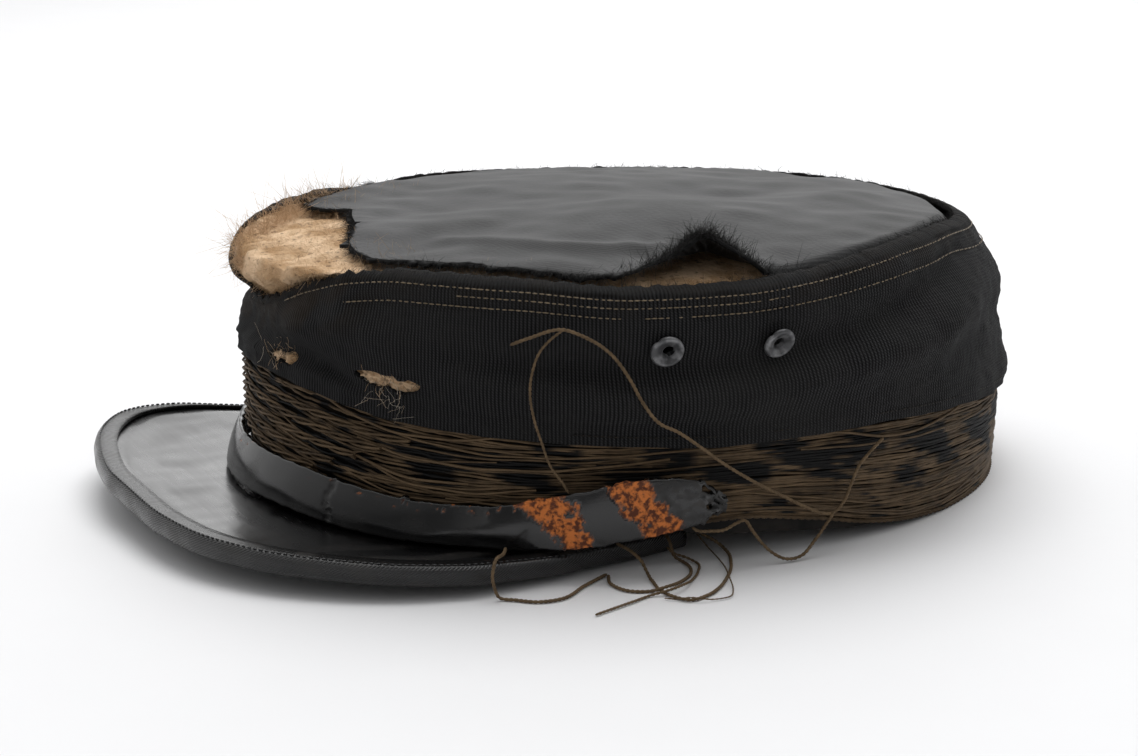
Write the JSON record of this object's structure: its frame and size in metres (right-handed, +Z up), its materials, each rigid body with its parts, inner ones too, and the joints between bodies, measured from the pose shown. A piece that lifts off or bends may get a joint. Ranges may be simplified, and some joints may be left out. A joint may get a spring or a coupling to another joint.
{
  "type": "kepi cap",
  "caption": "Worn round cap with a ribbed cloth side, a corded band, a bound leather visor and a torn-loose chin strap.",
  "frame": {"origin": "on the surface the cap rests on, under the middle of the whole outline with the visor", "axes": "+Z up from the surface, -Y towards the visor, +X towards the wearer's left"},
  "size_m": [0.1675, 0.2316, 0.0724],
  "materials": {
    "ribbed_cloth": "black ribbed cloth, worn",
    "top_cloth": "smooth dark grey cloth with a worn sheen",
    "wadding": "tan fibrous wadding",
    "corded_band": "brown thread over black backing, frayed",
    "patent_leather": "black patent leather, cracked and flaked",
    "sweatband_leather": "dark matte leather",
    "worn_metal": "worn black paint over grey metal"
  },
  "bodies": {
    "root": {"crown_side": "ribbed_cloth", "crown_top": "top_cloth", "wadding": "wadding", "side_wadding": "wadding", "top_piping": "ribbed_cloth", "band": "corded_band", "sweatband": "sweatband_leather", "chin_strap": "patent_leather", "visor": "patent_leather", "visor_binding": "patent_leather", "eyelet_left_front": "worn_metal", "eyelet_left_back": "worn_metal", "eyelet_right_front": "worn_metal", "eyelet_right_back": "worn_metal", "side_button": "worn_metal"}
  },
  "joints": []
}
